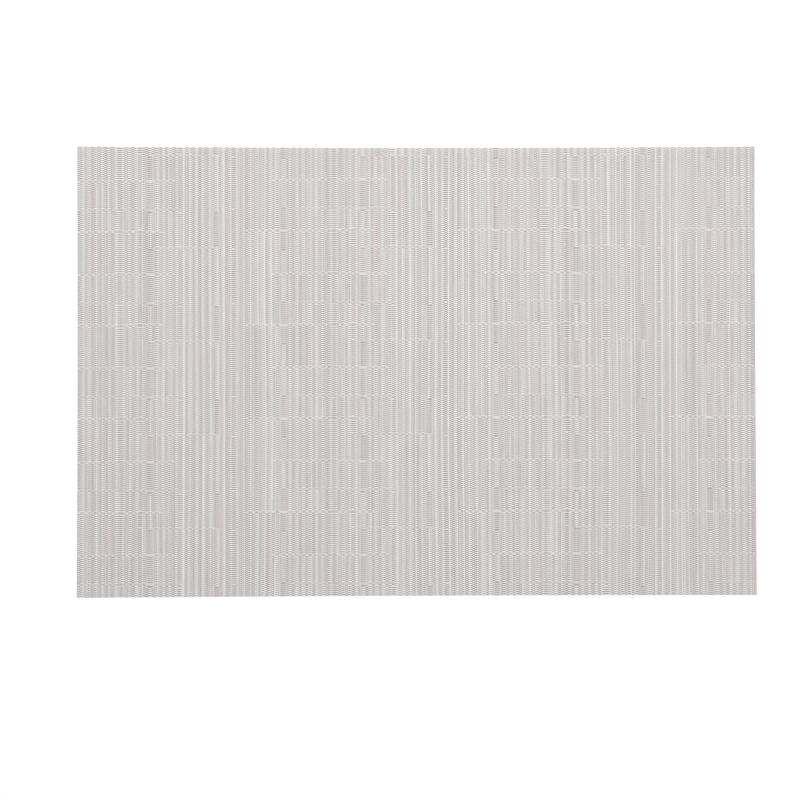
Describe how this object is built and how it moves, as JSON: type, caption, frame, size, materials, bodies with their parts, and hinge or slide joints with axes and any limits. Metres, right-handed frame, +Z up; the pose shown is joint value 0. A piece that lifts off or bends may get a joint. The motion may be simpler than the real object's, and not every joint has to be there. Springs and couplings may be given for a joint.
{
  "type": "woven vinyl placemat",
  "caption": "Flat rectangular placemat of ribbed woven vinyl with plain cut edges, for laying under a plate or cup.",
  "frame": {"origin": "middle of the mat's footprint, on the surface that it lies on", "axes": "+X along the mat's length, +Y across it from the near cut to the far cut, +Z up"},
  "size_m": [0.452, 0.3, 0.0016],
  "materials": {
    "woven_vinyl": "pale greige vinyl-coated yarn in a ribbed weave, satin to matt"
  },
  "bodies": {
    "root": {"mat": "woven_vinyl"}
  },
  "joints": []
}
